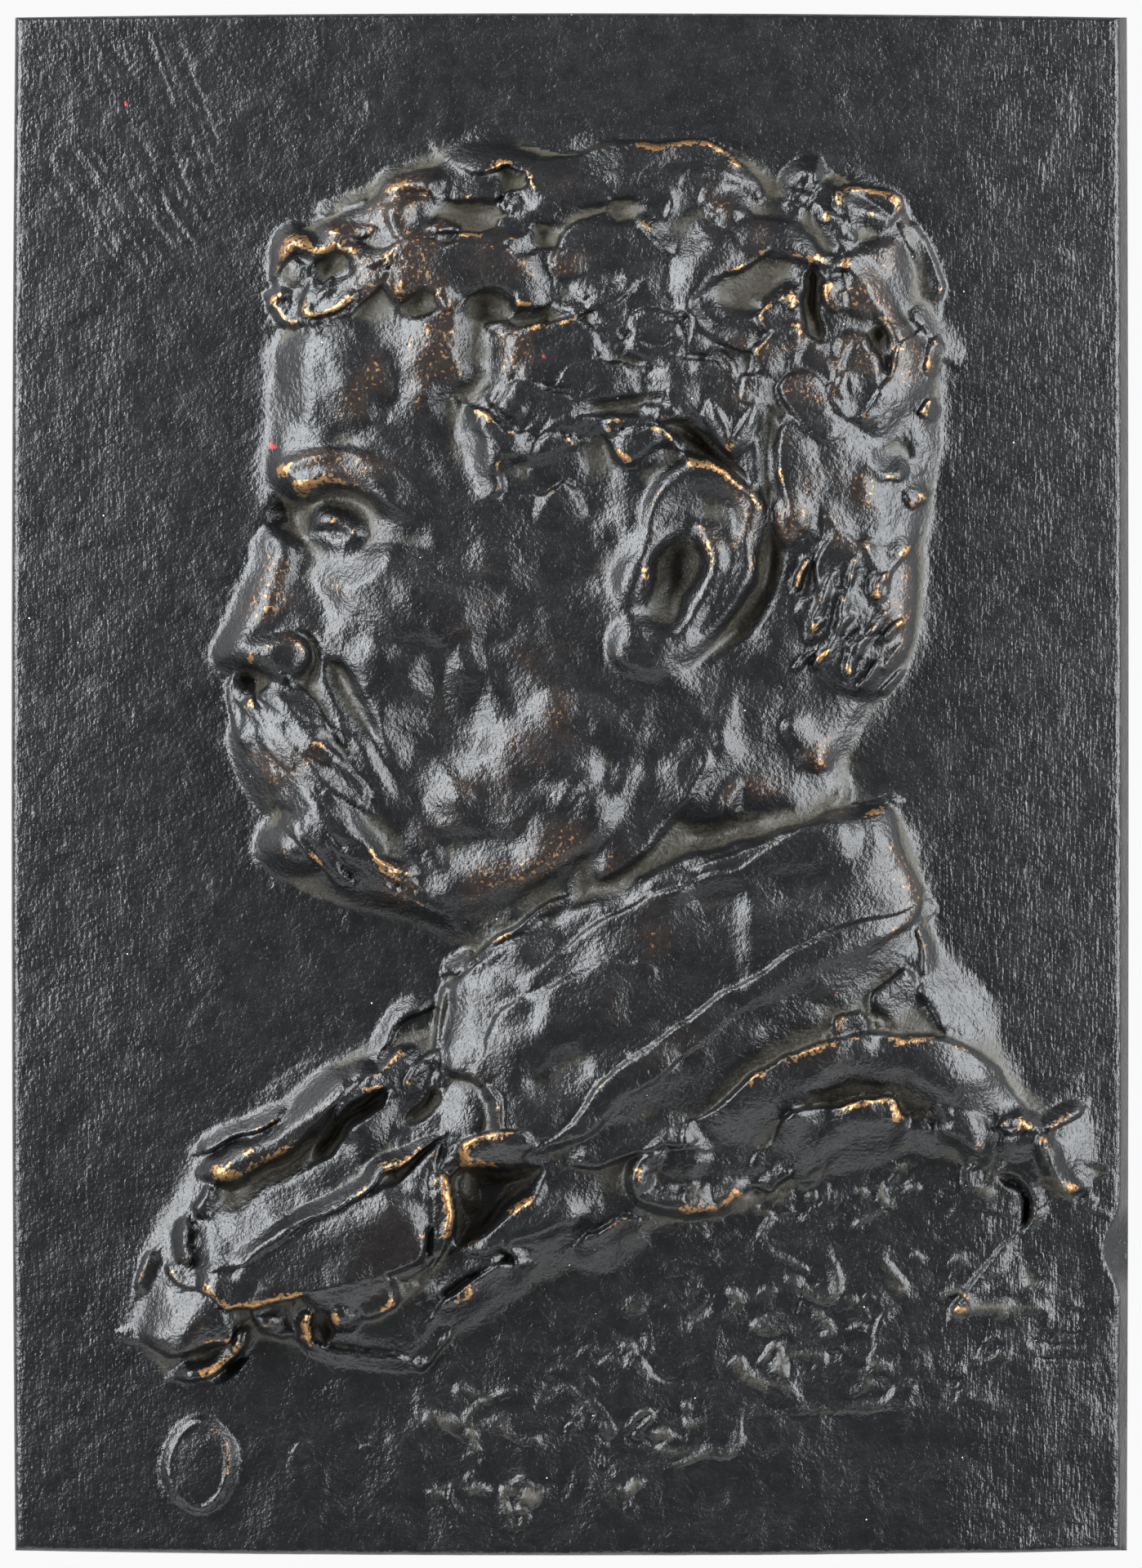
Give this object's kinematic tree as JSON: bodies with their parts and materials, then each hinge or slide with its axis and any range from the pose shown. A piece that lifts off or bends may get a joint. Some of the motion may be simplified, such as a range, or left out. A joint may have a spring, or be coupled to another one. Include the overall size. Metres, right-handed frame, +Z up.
{
  "type": "relief plaque",
  "caption": "Rectangular bronze wall plaque with a moustached man's head and shoulders in low relief, in profile to the left.",
  "frame": {"origin": "middle of the flat back, where the plaque meets the wall", "axes": "+Z up along the plaque's height, +X to the right seen from the front, +Y from the relief into the wall"},
  "size_m": [0.1827, 0.0179, 0.2523],
  "materials": {
    "patinated_bronze": "dark brown-black waxed patina, rubbed golden on the crests"
  },
  "bodies": {
    "root": {"plaque": "patinated_bronze"}
  },
  "joints": []
}
